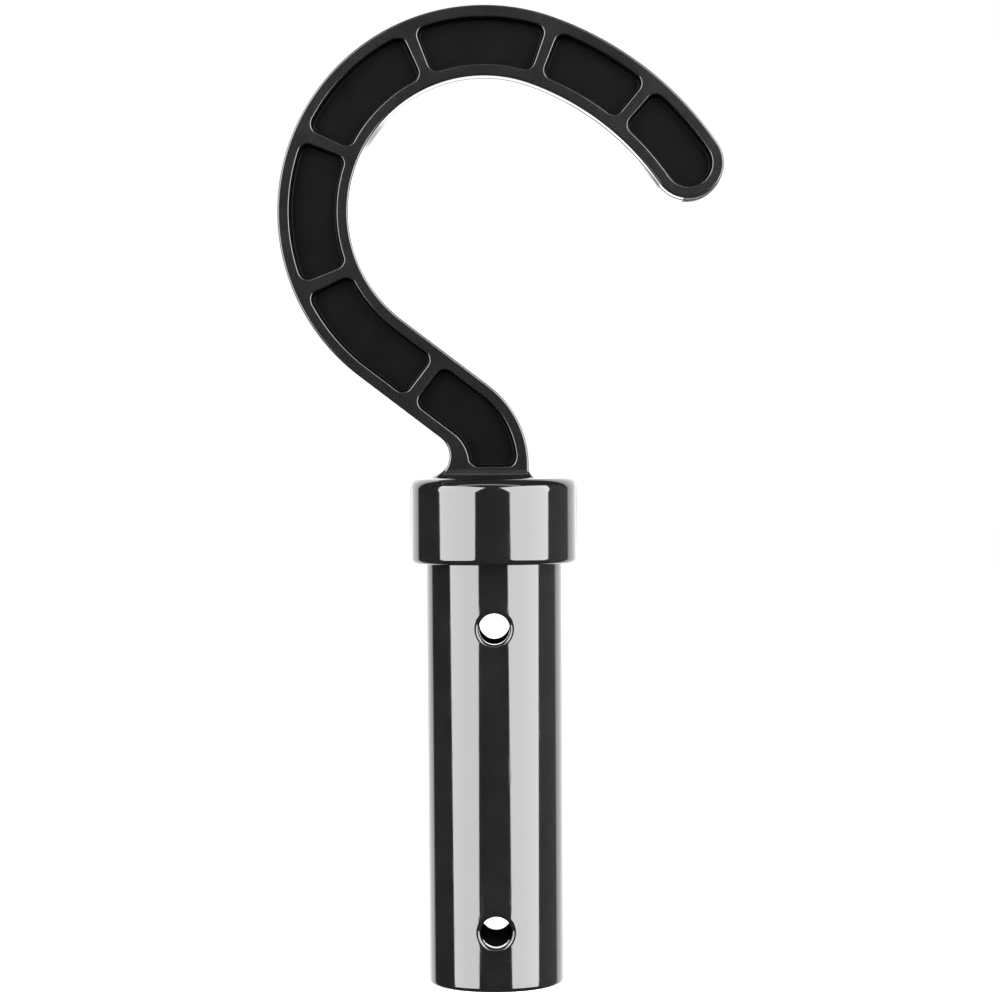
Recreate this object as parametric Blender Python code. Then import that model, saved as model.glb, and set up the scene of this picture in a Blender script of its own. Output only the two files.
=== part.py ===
"""Pole hook: a moulded plastic hook on a shouldered spigot that slides into a round pole.

Frame: metres, +Z up.  The origin is on the spigot's axis, at the underside of the collar,
where the pole's end stops.  The hook lies in the XZ plane, its mouth opens to +X, and the
two cross holes run along Y.
"""
import math

import bmesh
import bpy

MM = 0.001

# ---- driving dimensions: spigot and collar ----
SPIGOT_TOP_D = 28.8 * MM        # just under the collar
SPIGOT_END_D = 28.4 * MM        # at the free end; the mould's draft makes it smaller
SPIGOT_LENGTH = 88.0 * MM
SPIGOT_END_ROUND = 0.9 * MM
SPIGOT_SEAT = 3.0 * MM          # how far the spigot's top is let into the collar
BORE_D = 22.6 * MM
BORE_INTO_COLLAR = 14.0 * MM    # the bore is blind, and ends inside the collar
COLLAR_D = 35.0 * MM
COLLAR_HEIGHT = 17.8 * MM
COLLAR_ROUND = 1.2 * MM

# ---- driving dimensions: the two cross holes for a pin or a spring button ----
HOLE_D = 6.4 * MM
HOLE_ROUND = 1.0 * MM           # rounding where each hole meets the outer wall
HOLE_BELOW_COLLAR = 13.2 * MM
HOLE_ABOVE_END = 12.3 * MM

# ---- driving dimensions: the hook's band, seen from the front ----
BAND_WIDTH = 14.85 * MM
BAND_THICKNESS = 8.0 * MM
BAND_ROUND = 0.8 * MM           # rounding of the long outer edges
THROAT_R = 28.45 * MM           # inner radius of the round part of the hook
TIP_THROAT_R = 56.0 * MM        # inner radius of the flatter stretch towards the tip
BLEND_ANGLE = math.radians(69.9)    # where the round part passes into the flatter stretch
TIP_ANGLE = math.radians(34.35)     # where the band's rounded tip is centred
SHANK_LEAN = math.radians(37.45)    # slope of the straight shank below the horizontal
SHANK_LENGTH = 22.85 * MM
NECK_R = 13.45 * MM             # bend that brings the shank upright over the collar
NECK_RISE = 2.95 * MM           # upright stretch between the collar and that bend
HEEL_FILLET_R = 4.85 * MM       # fillet between the shank's outer edge and the collar
FOOT_FILLET_R = 2.0 * MM        # fillet round the rest of the hook's foot

# ---- driving dimensions: the pockets that lighten the band, alike on front and back ----
POCKET_RIM = 2.3 * MM           # wall left along both edges of the band
POCKET_DEPTH = 2.9 * MM
POCKET_DRAFT = 0.15 * MM        # how much smaller a pocket is at its floor
POCKET_CORNER_R = 2.2 * MM
RIB_WIDTH = 2.2 * MM
FOOT_WALL = 2.4 * MM            # solid stretch between the lowest pocket and the collar
TIP_RIB_ANGLES = [math.radians(a) for a in (49.45, 69.35)]
ROUND_RIB_ANGLES = [math.radians(a) for a in (112.5, 156.4, 203.0)]
SHANK_RIB = 11.3 * MM           # from the start of the straight shank to its rib

# ---- how finely round shapes are stepped ----
TURN_STEPS = 72
HOLE_STEPS = 28
ROUND_STEPS = 3
FILLET_STEPS = 4
CORNER_STEPS = 5
HEEL_STEPS = 12
TIP_STEPS = 14
BAND_STEP = 3.2 * MM
SMOOTH_ANGLE = math.radians(35)
CUT_PAST = 1.0 * MM             # how far a cutter runs past the face that it opens
FOOT_SINK = 0.1 * MM            # how far the foot fillet's top lies inside the band
HEEL_COVER = 0.25               # share of the heel fillet that stands clear of the foot's
ROUND_SHARE = 0.7               # most of a wall's thickness that an edge rounding may take

# ---- sizes that follow from the driving ones ----
HALF = BAND_WIDTH / 2
ROUND_R = THROAT_R + HALF       # radii of the band's centre line
TIP_R = TIP_THROAT_R + HALF
FOOT_Z = COLLAR_HEIGHT
ALONG = (math.cos(SHANK_LEAN), -math.sin(SHANK_LEAN))   # down the straight shank
ACROSS = (math.sin(SHANK_LEAN), math.cos(SHANK_LEAN))   # from the shank towards the throat


def toward(start, direction, distance):
    return (start[0] + direction[0] * distance, start[1] + direction[1] * distance)


def at_angle(centre, radius, angle):
    return (centre[0] + radius * math.cos(angle), centre[1] + radius * math.sin(angle))


def level(point, direction):
    return point[0] * direction[0] + point[1] * direction[1]


# The centre line rises from the collar on the spigot's axis, and each stretch meets the next
# tangentially: the neck's bend, the straight shank, the round part and the flatter stretch.
NECK = (-NECK_R, FOOT_Z + NECK_RISE)
NECK_TURN = math.pi / 2 - SHANK_LEAN
SHANK_START = toward(toward(NECK, ACROSS, NECK_R), ALONG, -SHANK_LENGTH)
THROAT = toward(SHANK_START, ACROSS, ROUND_R)
TIP_CENTRE = at_angle(THROAT, ROUND_R - TIP_R, BLEND_ANGLE)
ROUND_END_ANGLE = 3 * math.pi / 2 - SHANK_LEAN
# The heel fillet touches the shank's outer edge and the top of the collar.
HEEL_Z = FOOT_Z + HEEL_FILLET_R
HEEL_LEVEL = level(SHANK_START, ACROSS) - HALF - HEEL_FILLET_R
HEEL = ((HEEL_LEVEL - HEEL_Z * ACROSS[1]) / ACROSS[0], HEEL_Z)
# Distances along the centre line from the tip's centre to where each stretch ends.
END_OF_TIP = (BLEND_ANGLE - TIP_ANGLE) * TIP_R
END_OF_ROUND = END_OF_TIP + (ROUND_END_ANGLE - BLEND_ANGLE) * ROUND_R
END_OF_SHANK = END_OF_ROUND + SHANK_LENGTH
END_OF_NECK = END_OF_SHANK + NECK_TURN * NECK_R
END_OF_FOOT = END_OF_NECK + NECK_RISE
HEEL_START = END_OF_ROUND + level(HEEL, ALONG) - level(SHANK_START, ALONG)


def band_point(along, across):
    """Point (x, z) of the band, by distance from the tip and from the centre line.

    across is positive on the throat's side.
    """
    if along < 0:
        tip = at_angle(TIP_CENTRE, TIP_R - across, TIP_ANGLE)
        back = (math.sin(TIP_ANGLE), -math.cos(TIP_ANGLE))
        return toward(tip, back, -along)
    if along < END_OF_TIP:
        return at_angle(TIP_CENTRE, TIP_R - across, TIP_ANGLE + along / TIP_R)
    if along < END_OF_ROUND:
        angle = BLEND_ANGLE + (along - END_OF_TIP) / ROUND_R
        return at_angle(THROAT, ROUND_R - across, angle)
    if along < END_OF_SHANK:
        start = toward(SHANK_START, ACROSS, across)
        return toward(start, ALONG, along - END_OF_ROUND)
    if along < END_OF_NECK:
        angle = NECK_TURN - (along - END_OF_SHANK) / NECK_R
        return at_angle(NECK, NECK_R + across, angle)
    return (across, NECK[1] - (along - END_OF_NECK))


def stations(start, end, step):
    count = max(1, round((end - start) / step))
    return [start + (end - start) * i / count for i in range(count)]


def edge_stations(last):
    """Stations from the tip to last, with one at each change of curve."""
    found = []
    ends = [0, END_OF_TIP, END_OF_ROUND, END_OF_SHANK, END_OF_NECK, END_OF_FOOT]
    for start, end in zip(ends, ends[1:]):
        if start >= last:
            break
        step = BAND_STEP / 2 if start == END_OF_SHANK else BAND_STEP
        found += stations(start, min(end, last), step)
    return found + [last]


def band_outline(inset):
    """The band's whole outline, moved in by inset, as (x, z) points anticlockwise."""
    half = HALF - inset
    outer = [band_point(s, -half) for s in edge_stations(HEEL_START)[:-1]]
    heel_r = HEEL_FILLET_R + inset
    heel_end = -math.asin(min(1.0, (HEEL_Z - FOOT_Z) / heel_r))
    heel = [at_angle(HEEL, heel_r, NECK_TURN + (heel_end - NECK_TURN) * i / HEEL_STEPS)
            for i in range(HEEL_STEPS + 1)]
    inner = [band_point(s, half) for s in edge_stations(END_OF_FOOT)]
    tip_centre = band_point(0, 0)
    tip = [at_angle(tip_centre, half, TIP_ANGLE + math.pi + math.pi * i / TIP_STEPS)
           for i in range(1, TIP_STEPS)]
    return outer + heel + inner[::-1] + tip


def rounded_rectangle(start, end, half, start_r, end_r):
    """(along, across) points round a pocket, with its own corner radius at each end."""
    points = []
    corners = [(end - end_r, -half + end_r, end_r, -90), (end - end_r, half - end_r, end_r, 0),
               (start + start_r, half - start_r, start_r, 90),
               (start + start_r, -half + start_r, start_r, 180)]
    for index, (along, across, radius, first) in enumerate(corners):
        arc = []
        for i in range(CORNER_STEPS + 1):
            angle = math.radians(first + 90 * i / CORNER_STEPS)
            arc.append((along + radius * math.cos(angle), across + radius * math.sin(angle)))
        if points and index in (2, 3):
            points += along_side(points[-1], arc[0])
        points += arc
    points += along_side(points[-1], points[0])
    return points


def along_side(first, last):
    """Extra points between two corners, so that a side follows the band's curve."""
    gap = abs(last[0] - first[0])
    count = max(1, round(gap / BAND_STEP))
    return [(first[0] + (last[0] - first[0]) * i / count,
             first[1] + (last[1] - first[1]) * i / count) for i in range(1, count)]


def pocket_ends():
    """(start, end, start corner radius, end corner radius) of every pocket."""
    ribs = [(a - TIP_ANGLE) * TIP_R for a in TIP_RIB_ANGLES]
    ribs += [END_OF_TIP + (a - BLEND_ANGLE) * ROUND_R for a in ROUND_RIB_ANGLES]
    ribs.append(END_OF_ROUND + SHANK_RIB)
    half = HALF - POCKET_RIM
    starts = [-half] + [r + RIB_WIDTH / 2 for r in ribs]
    ends = [r - RIB_WIDTH / 2 for r in ribs] + [END_OF_FOOT - FOOT_WALL]
    ends_list = []
    for start, end in zip(starts, ends):
        start_r = half if start < 0 else POCKET_CORNER_R
        ends_list.append((start, end, start_r, POCKET_CORNER_R))
    return ends_list


def finish(mesh_bm, name, colour, roughness):
    """Make an object of a bmesh, with outward faces, smooth round shapes and a material."""
    bmesh.ops.recalc_face_normals(mesh_bm, faces=mesh_bm.faces)
    mesh = bpy.data.meshes.new(name)
    mesh_bm.to_mesh(mesh)
    mesh_bm.free()
    thing = bpy.data.objects.new(name, mesh)
    bpy.context.scene.collection.objects.link(thing)
    if colour is None:
        thing.hide_render = True
        thing.display_type = "WIRE"
        return thing
    mesh.shade_smooth()
    mesh.set_sharp_from_angle(angle=SMOOTH_ANGLE)
    material = bpy.data.materials.new(name + "_plastic")
    material.use_nodes = True
    shader = material.node_tree.nodes["Principled BSDF"]
    shader.inputs["Base Color"].default_value = (*colour, 1.0)
    shader.inputs["Roughness"].default_value = roughness
    shader.inputs["Metallic"].default_value = 0.0
    mesh.materials.append(material)
    return thing


def skin_rings(bm, rings):
    """Join equal rings of points into a skin; the first and last ring get a flat cap."""
    made = [[bm.verts.new(p) for p in ring] for ring in rings]
    for low, high in zip(made, made[1:]):
        for i in range(len(low)):
            j = (i + 1) % len(low)
            bm.faces.new((low[i], low[j], high[j], high[i]))
    bm.faces.new(made[0])
    bm.faces.new(made[-1])


def turn(bm, profile, steps):
    """Turn a closed (radius, z) profile about Z."""
    rings = []
    for radius, height in profile:
        rings.append([bm.verts.new((radius * math.cos(2 * math.pi * i / steps),
                                    radius * math.sin(2 * math.pi * i / steps), height))
                      for i in range(steps)])
    for low, high in zip(rings, rings[1:] + rings[:1]):
        for i in range(steps):
            j = (i + 1) % steps
            bm.faces.new((low[i], low[j], high[j], high[i]))


def quarter(centre_r, centre_z, radius, first_degrees, steps=ROUND_STEPS):
    """Points of a quarter circle in a turned profile, anticlockwise from first_degrees."""
    points = []
    for i in range(steps + 1):
        angle = math.radians(first_degrees + 90 * i / steps)
        points.append((centre_r + radius * math.cos(angle), centre_z + radius * math.sin(angle)))
    return points


def cut(thing, cutter):
    change = thing.modifiers.new("cut_" + cutter.name, "BOOLEAN")
    change.operation = "DIFFERENCE"
    change.solver = "EXACT"
    change.object = cutter


def join_on(thing, addition):
    change = thing.modifiers.new("join_" + addition.name, "BOOLEAN")
    change.operation = "UNION"
    change.solver = "EXACT"
    change.object = addition


def make_band():
    """The plain band: its outline with rounded front and back edges."""
    face = BAND_THICKNESS / 2
    levels = []
    for i in range(ROUND_STEPS + 1):
        angle = math.pi / 2 * i / ROUND_STEPS
        levels.append((face - BAND_ROUND * (1 - math.sin(angle)),
                       BAND_ROUND * (1 - math.cos(angle))))
    levels = [(-y, inset) for y, inset in reversed(levels)] + levels
    bm = bmesh.new()
    rings = [[(x, y, z) for x, z in band_outline(inset)] for y, inset in levels]
    skin_rings(bm, rings)
    return finish(bm, "hook_arm", (0.012, 0.012, 0.013), 0.32)


def make_foot_fillet():
    """The fillet that carries the band's front, back and mouth sides into the collar."""
    foot_left = HEEL[0] + HEEL_FILLET_R * (1 - HEEL_COVER)
    bm = bmesh.new()
    rings = []
    for i in range(FILLET_STEPS + 1):
        angle = math.pi / 2 * i / FILLET_STEPS
        flare = FOOT_FILLET_R * (1 - math.sin(angle)) - FOOT_SINK * i / FILLET_STEPS
        rise = FOOT_FILLET_R * (1 - math.cos(angle))
        half_y = BAND_THICKNESS / 2 + flare
        right = HALF + flare
        corner = BAND_ROUND + flare
        ring = []
        for centre_x, centre_y, first in ((right - corner, half_y - corner, 0),
                                          (foot_left + corner, half_y - corner, 90),
                                          (foot_left + corner, corner - half_y, 180),
                                          (right - corner, corner - half_y, 270)):
            for x, y in quarter(centre_x, centre_y, corner, first):
                ring.append((x, y, FOOT_Z + rise))
        rings.append(ring)
    skin_rings(bm, rings)
    return finish(bm, "foot_fillet", None, 0)


def make_pocket_cutter():
    """All pockets, front and back, as one cutter of separate tapered plugs."""
    bm = bmesh.new()
    face = BAND_THICKNESS / 2
    half = HALF - POCKET_RIM
    for start, end, start_r, end_r in pocket_ends():
        for side in (-1, 1):
            rings = []
            for y, shrink in ((face - POCKET_DEPTH, POCKET_DRAFT), (face, 0),
                              (face + CUT_PAST, 0)):
                outline = rounded_rectangle(start + shrink, end - shrink, half - shrink,
                                            start_r - shrink, end_r - shrink)
                rings.append([(*band_point(s, n), side * y) for s, n in outline])
            skin_rings(bm, [[(x, y, z) for x, z, y in ring] for ring in rings])
    return finish(bm, "pocket_cutter", None, 0)


def make_hook_arm():
    band = make_band()
    join_on(band, make_foot_fillet())
    cut(band, make_pocket_cutter())
    return band


def make_collar():
    """The shoulder that stops the pole, with the blind end of the bore inside it."""
    outer = COLLAR_D / 2
    seat = SPIGOT_TOP_D / 2
    bore = BORE_D / 2
    lower_round = min(COLLAR_ROUND, (outer - seat) * ROUND_SHARE)
    profile = [(bore, BORE_INTO_COLLAR), (bore, SPIGOT_SEAT), (seat, SPIGOT_SEAT), (seat, 0)]
    profile += quarter(outer - lower_round, lower_round, lower_round, -90)
    profile += quarter(outer - COLLAR_ROUND, COLLAR_HEIGHT - COLLAR_ROUND, COLLAR_ROUND, 0)
    bm = bmesh.new()
    rings = [[(r * math.cos(2 * math.pi * i / TURN_STEPS),
               r * math.sin(2 * math.pi * i / TURN_STEPS), z) for i in range(TURN_STEPS)]
             for r, z in profile]
    skin_rings(bm, rings)
    return finish(bm, "collar", (0.010, 0.010, 0.011), 0.12)


def make_hole_cutter(name, height):
    """A cutter along Y for one cross hole, flared where it leaves the wall."""
    wall = SPIGOT_TOP_D / 2
    hole = HOLE_D / 2
    mouth = [(hole + HOLE_ROUND - HOLE_ROUND * math.cos(math.pi / 2 * i / ROUND_STEPS),
              wall - HOLE_ROUND + HOLE_ROUND * math.sin(math.pi / 2 * i / ROUND_STEPS))
             for i in range(ROUND_STEPS + 1)]
    mouth.append((mouth[-1][0], wall + CUT_PAST))
    profile = [(r, -y) for r, y in reversed(mouth)] + mouth
    bm = bmesh.new()
    rings = [[(r * math.cos(2 * math.pi * i / HOLE_STEPS), y,
               height + r * math.sin(2 * math.pi * i / HOLE_STEPS)) for i in range(HOLE_STEPS)]
             for r, y in profile]
    skin_rings(bm, rings)
    return finish(bm, name, None, 0)


def make_spigot():
    """The hollow round stub that goes into the pole, open at its lower end and seated in the collar."""
    top = SPIGOT_TOP_D / 2
    end = SPIGOT_END_D / 2
    bore = BORE_D / 2
    end_round = min(SPIGOT_END_ROUND, (end - bore) * ROUND_SHARE)
    profile = [(bore, SPIGOT_SEAT), (bore, -SPIGOT_LENGTH)]
    profile += quarter(end - end_round, end_round - SPIGOT_LENGTH, end_round, -90)
    profile += [(top, 0), (top, SPIGOT_SEAT)]
    bm = bmesh.new()
    turn(bm, profile, TURN_STEPS)
    spigot = finish(bm, "spigot", (0.010, 0.010, 0.011), 0.12)
    cut(spigot, make_hole_cutter("upper_hole_cutter", -HOLE_BELOW_COLLAR))
    cut(spigot, make_hole_cutter("lower_hole_cutter", HOLE_ABOVE_END - SPIGOT_LENGTH))
    return spigot


def main():
    for thing in list(bpy.data.objects):
        bpy.data.objects.remove(thing, do_unlink=True)
    make_hook_arm()
    make_collar()
    make_spigot()


main()
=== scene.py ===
# %% [markdown]
# # A moulded plastic pole hook
#
# The object is the black head of a reaching pole: a flat, curved hook with pockets in both
# faces, a round collar, and a hollow spigot that slides into the pole.  Its sizes were fixed
# in CAD.  This lesson starts from that model as a frame, and makes each of its three lengths
# again with finished edges, fillets and plastic surfaces.
#
# The real hook is one moulding.  It could be one mesh here too, but three pieces that meet at
# the collar are each a simple shape: a bent bar, a turned disc and a tube.

# %% Load the frame
import math

import bpy
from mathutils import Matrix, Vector


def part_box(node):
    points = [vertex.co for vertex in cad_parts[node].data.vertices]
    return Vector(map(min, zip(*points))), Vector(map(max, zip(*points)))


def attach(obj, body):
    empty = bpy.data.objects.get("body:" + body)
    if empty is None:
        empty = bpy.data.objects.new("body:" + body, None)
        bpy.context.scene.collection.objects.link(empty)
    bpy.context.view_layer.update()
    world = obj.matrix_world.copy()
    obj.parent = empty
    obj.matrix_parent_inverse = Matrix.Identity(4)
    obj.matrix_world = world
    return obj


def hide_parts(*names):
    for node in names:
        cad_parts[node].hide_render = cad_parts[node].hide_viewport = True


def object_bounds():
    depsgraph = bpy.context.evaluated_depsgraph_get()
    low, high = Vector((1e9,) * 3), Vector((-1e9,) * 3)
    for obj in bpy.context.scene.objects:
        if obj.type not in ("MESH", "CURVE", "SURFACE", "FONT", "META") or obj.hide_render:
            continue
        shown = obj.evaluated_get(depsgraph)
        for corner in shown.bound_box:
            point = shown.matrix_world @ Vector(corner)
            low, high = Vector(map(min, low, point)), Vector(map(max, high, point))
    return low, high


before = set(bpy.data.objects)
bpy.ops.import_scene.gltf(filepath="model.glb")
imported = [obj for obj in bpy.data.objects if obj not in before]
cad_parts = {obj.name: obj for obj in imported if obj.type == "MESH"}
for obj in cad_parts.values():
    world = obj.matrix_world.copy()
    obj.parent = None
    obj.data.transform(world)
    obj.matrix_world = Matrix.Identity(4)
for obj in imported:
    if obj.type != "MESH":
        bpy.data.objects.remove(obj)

cad_low, cad_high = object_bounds()
print("CAD box, mm:", [round(v * 1000, 1) for v in (*cad_low, *cad_high)])

# %% [markdown]
# Every length below is in millimetres, because that is how a maker thinks of a hook, and is
# multiplied by MM where Blender needs metres.  The overall sizes are read from the frame, so
# that the pieces always fit it.

# %% Sizes that the frame gives
MM = 0.001
collar_low, collar_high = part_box("collar")
spigot_low, spigot_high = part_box("spigot")
COLLAR_R = (collar_high.x - collar_low.x) / 2 / MM
COLLAR_TOP = collar_high.z / MM
SPIGOT_R = (spigot_high.x - spigot_low.x) / 2 / MM
SPIGOT_END = spigot_low.z / MM
print("collar radius", round(COLLAR_R, 2), "top", round(COLLAR_TOP, 2))
print("spigot radius", round(SPIGOT_R, 2), "end", round(SPIGOT_END, 2))

# %% [markdown]
# Operators act on whatever is selected.  A modeller would click the corners, edges or faces to
# work on.  A script has no mouse, and numbers of corners change with every cut, so these
# helpers pick by place instead: a small test says which corners are wanted.

# %% Helpers for picking


def only(piece):
    """Make piece the one active and selected object, in object mode."""
    if bpy.context.object and bpy.context.object.mode != "OBJECT":
        bpy.ops.object.mode_set(mode="OBJECT")
    bpy.ops.object.select_all(action="DESELECT")
    bpy.context.view_layer.objects.active = piece
    piece.select_set(True)


def pick(piece, kind, test):
    """Open piece for editing, with the VERT, EDGE or FACE items selected whose corners pass test."""
    only(piece)
    bpy.ops.object.mode_set(mode="EDIT")
    bpy.ops.mesh.select_mode(type=kind)
    bpy.ops.mesh.select_all(action="DESELECT")
    bpy.ops.object.mode_set(mode="OBJECT")
    mesh = piece.data
    places = [v.co / MM for v in mesh.vertices]
    if kind == "VERT":
        for vertex, place in zip(mesh.vertices, places):
            vertex.select = bool(test([place]))
    else:
        for item in mesh.edges if kind == "EDGE" else mesh.polygons:
            item.select = bool(test([places[i] for i in item.vertices]))
    bpy.ops.object.mode_set(mode="EDIT")


def close_edit(piece):
    """Leave edit mode with doubles merged and faces turned outwards."""
    bpy.ops.mesh.select_all(action="SELECT")
    bpy.ops.mesh.remove_doubles(threshold=0.002 * MM)
    bpy.ops.mesh.normals_make_consistent(inside=False)
    bpy.ops.object.mode_set(mode="OBJECT")


def slice_at(piece, point, normal):
    """Cut every face of piece along a plane, and keep both sides."""
    bpy.ops.mesh.select_all(action="SELECT")
    bpy.ops.mesh.bisect(plane_co=Vector(point) * MM, plane_no=normal)


def apply(piece, modifier):
    """Make the modifier's result the piece's own mesh."""
    only(piece)
    bpy.ops.object.modifier_apply(modifier=modifier.name)


def block(name, low, high):
    """A box from its lowest and highest corner, in millimetres."""
    size = [b - a for a, b in zip(low, high)]
    middle = [(a + b) / 2 * MM for a, b in zip(low, high)]
    bpy.ops.mesh.primitive_cube_add(size=MM, location=middle)
    piece = bpy.context.object
    piece.name = name
    piece.scale = size
    bpy.ops.object.transform_apply(location=True, rotation=True, scale=True)
    return piece


bpy.ops.object.select_all(action="DESELECT")

# %% [markdown]
# ## The camera
#
# The camera is level with the collar and a good half metre away, with a long lens, so that the
# hook is seen almost without perspective.  A nearer camera would curve the collar's lower edge
# and the spigot's end more.  It leans by a third of a degree.

# %% Camera
CAMERA_AT = Vector((1.361, -575.0, 13.38)) * MM
PICTURE_WIDTH = 210.7 * MM      # how much is seen across, at the spigot's axis
LEAN = math.radians(0.378)
camera_data = bpy.data.cameras.new("camera")
camera = bpy.data.objects.new("camera", camera_data)
bpy.context.scene.collection.objects.link(camera)
camera.location = CAMERA_AT
camera.rotation_mode = "XYZ"
camera.rotation_euler = (math.radians(90), LEAN, 0)
camera_data.sensor_width = 36.0
camera_data.lens = camera_data.sensor_width * -CAMERA_AT.y / PICTURE_WIDTH
camera_data.clip_start = 0.01
bpy.context.scene.camera = camera
print("lens, mm:", round(camera_data.lens, 2))

# %% [markdown]
# ## The hook's centre line
#
# A hook like this is drawn with compass and ruler: up from the collar, round the neck, along
# the straight shank, round the throat, and out along a flatter arc to the tip.  A single
# vertex is spun and extruded along that path.  The line then becomes a curve, and everything
# on the hook can be modelled straight first and bent along it afterwards, which keeps the
# pockets and ribs easy to make.

# %% Sizes of the hook
BAND_WIDTH = 14.85
BAND_THICKNESS = 8.0
NECK_RISE = 2.95
NECK_R = 13.45
SHANK_LEAN = math.radians(37.45)
SHANK_LENGTH = 22.85
THROAT_R = 28.45
TIP_THROAT_R = 56.0
BLEND_ANGLE = math.radians(69.9)
TIP_ANGLE = math.radians(34.35)
HALF = BAND_WIDTH / 2
FACE = BAND_THICKNESS / 2
ROUND_R = THROAT_R + HALF
TIP_R = TIP_THROAT_R + HALF
NECK_TURN = math.pi / 2 - SHANK_LEAN
ROUND_TURN = 3 * math.pi / 2 - SHANK_LEAN - BLEND_ANGLE
TIP_TURN = BLEND_ANGLE - TIP_ANGLE
UP_SHANK = Vector((-math.cos(SHANK_LEAN), 0, math.sin(SHANK_LEAN)))
TO_THROAT = Vector((math.sin(SHANK_LEAN), 0, math.cos(SHANK_LEAN)))
TO_BLEND = Vector((math.cos(BLEND_ANGLE), 0, math.sin(BLEND_ANGLE)))

foot = Vector((0, 0, COLLAR_TOP))
neck_centre = foot + Vector((-NECK_R, 0, NECK_RISE))
shank_end = neck_centre + TO_THROAT * NECK_R + UP_SHANK * SHANK_LENGTH
throat = shank_end + TO_THROAT * ROUND_R
tip_arc_centre = throat + TO_BLEND * (ROUND_R - TIP_R)
print("throat centre", [round(v, 2) for v in throat])

# Distances up the centre line, from the collar, to where each stretch begins.
NECK_AT = NECK_RISE
SHANK_AT = NECK_AT + NECK_TURN * NECK_R
ROUND_AT = SHANK_AT + SHANK_LENGTH
TIP_AT = ROUND_AT + ROUND_TURN * ROUND_R
LINE_END = TIP_AT + TIP_TURN * TIP_R
print("length of the centre line", round(LINE_END, 2))

# %% Draw the centre line
FINE = math.radians(0.25)       # one step of a spin, fine enough to bend without facets


def spin_up(angle, centre, turn):
    """Spin the end of the line about Y; turn is 1 for anticlockwise as seen from the front."""
    bpy.ops.mesh.spin(steps=round(angle / FINE), angle=angle, center=centre * MM, axis=(0, turn, 0))


def extrude_up(step):
    """Extrude the end of the line by a step in millimetres."""
    bpy.ops.mesh.extrude_region_move(TRANSFORM_OT_translate={"value": step * MM})


bpy.ops.mesh.primitive_plane_add(size=MM, location=foot * MM)
centre_line = bpy.context.object
centre_line.name = "centre_line"
bpy.ops.object.transform_apply(location=True)
bpy.ops.object.mode_set(mode="EDIT")
bpy.ops.mesh.merge(type="CENTER")
extrude_up(Vector((0, 0, NECK_RISE)))
spin_up(NECK_TURN, neck_centre, 1)
extrude_up(UP_SHANK * SHANK_LENGTH)
spin_up(ROUND_TURN, throat, -1)
spin_up(TIP_TURN, tip_arc_centre, -1)
bpy.ops.object.mode_set(mode="OBJECT")
bpy.ops.object.convert(target="CURVE")
centre_line = bpy.context.object
centre_line.data.twist_mode = "MINIMUM"
line_points = centre_line.data.splines[0].points
if line_points[0].co.z > line_points[-1].co.z:
    bpy.ops.object.mode_set(mode="EDIT")
    bpy.ops.curve.select_all(action="SELECT")
    bpy.ops.curve.switch_direction()
    bpy.ops.object.mode_set(mode="OBJECT")
for point in centre_line.data.splines[0].points:
    point.tilt = math.pi / 2        # so that the bar's thickness stays along Y
print("line runs from", [round(v / MM, 2) for v in centre_line.data.splines[0].points[0].co[:3]],
      "to", [round(v / MM, 2) for v in centre_line.data.splines[0].points[-1].co[:3]])

# %% [markdown]
# ## The straight bar
#
# Laid out straight, the hook is a flat bar: X runs along it from the collar, Y is its
# thickness and Z its width.  Two big bevels round the tip, and a small bevel rounds the
# outline's edges.
#
# A low ridge along the middle is the mould's parting line.  It could be drawn with bump, but it
# shows in the outline, so it is real: three cuts, and the middle one is pushed outwards.  Two
# more cuts beside the ridge keep the wall's shading flat.

# %% Bar
EDGE_ROUND = 0.45
EDGE_STEPS = 6
TIP_STEPS = 40
RIDGE_HALF = 0.13
RIDGE_HEIGHT = 0.09
RIDGE_HOLD = 0.32
NEAR = 0.01                     # corners closer than this are in the same place
SHY = 0.0005                    # keeps two neighbouring bevels from touching

arm = block("hook_arm_moulding", (0, -FACE, -HALF), (LINE_END + HALF, FACE, HALF))
far_end = LINE_END + HALF
pick(arm, "EDGE", lambda c: all(p.x > far_end - NEAR for p in c) and abs(c[0].z - c[1].z) < NEAR)
bpy.ops.mesh.bevel(offset=(HALF - SHY) * MM, segments=TIP_STEPS, affect="EDGES",
                   clamp_overlap=False)
close_edit(arm)
pick(arm, "EDGE", lambda c: abs(c[0].y - c[1].y) < NEAR and max(p.x for p in c) > NEAR)
bpy.ops.mesh.bevel(offset=EDGE_ROUND * MM, segments=EDGE_STEPS, affect="EDGES", clamp_overlap=False)
for level in (-RIDGE_HOLD, -RIDGE_HALF, 0, RIDGE_HALF, RIDGE_HOLD):
    slice_at(arm, (0, level, 0), (0, 1, 0))
close_edit(arm)
pick(arm, "VERT", lambda c: abs(c[0].y) < NEAR and c[0].x > NEAR)
bpy.ops.transform.shrink_fatten(value=RIDGE_HEIGHT * MM)
close_edit(arm)
print("bar:", len(arm.data.polygons), "faces")

# %% [markdown]
# ## The pockets
#
# Seven pockets in each face leave a rim along both edges and six ribs between them.  They keep
# the plastic thin everywhere, so that it cools evenly.  Insets in the face could make them, but
# each needs an outline with round corners first, so each is cut by a plug with that outline.
#
# The ribs stand square to the bar, at distances along the shank and at angles round the throat.

# %% Where the pockets lie
RIM = 2.3
RIB = 2.2
CORNER_R = 2.2
FOOT_WALL = 2.4
SHANK_RIB = 11.3
TIP_RIBS = (49.45, 69.35)
ROUND_RIBS = (112.5, 156.4, 203.0)
HALF_POCKET = HALF - RIM


def up_round(degrees):
    """The distance up the line to an angle on the throat's round stretch."""
    return ROUND_AT + (BLEND_ANGLE + ROUND_TURN - math.radians(degrees)) * ROUND_R


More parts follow.
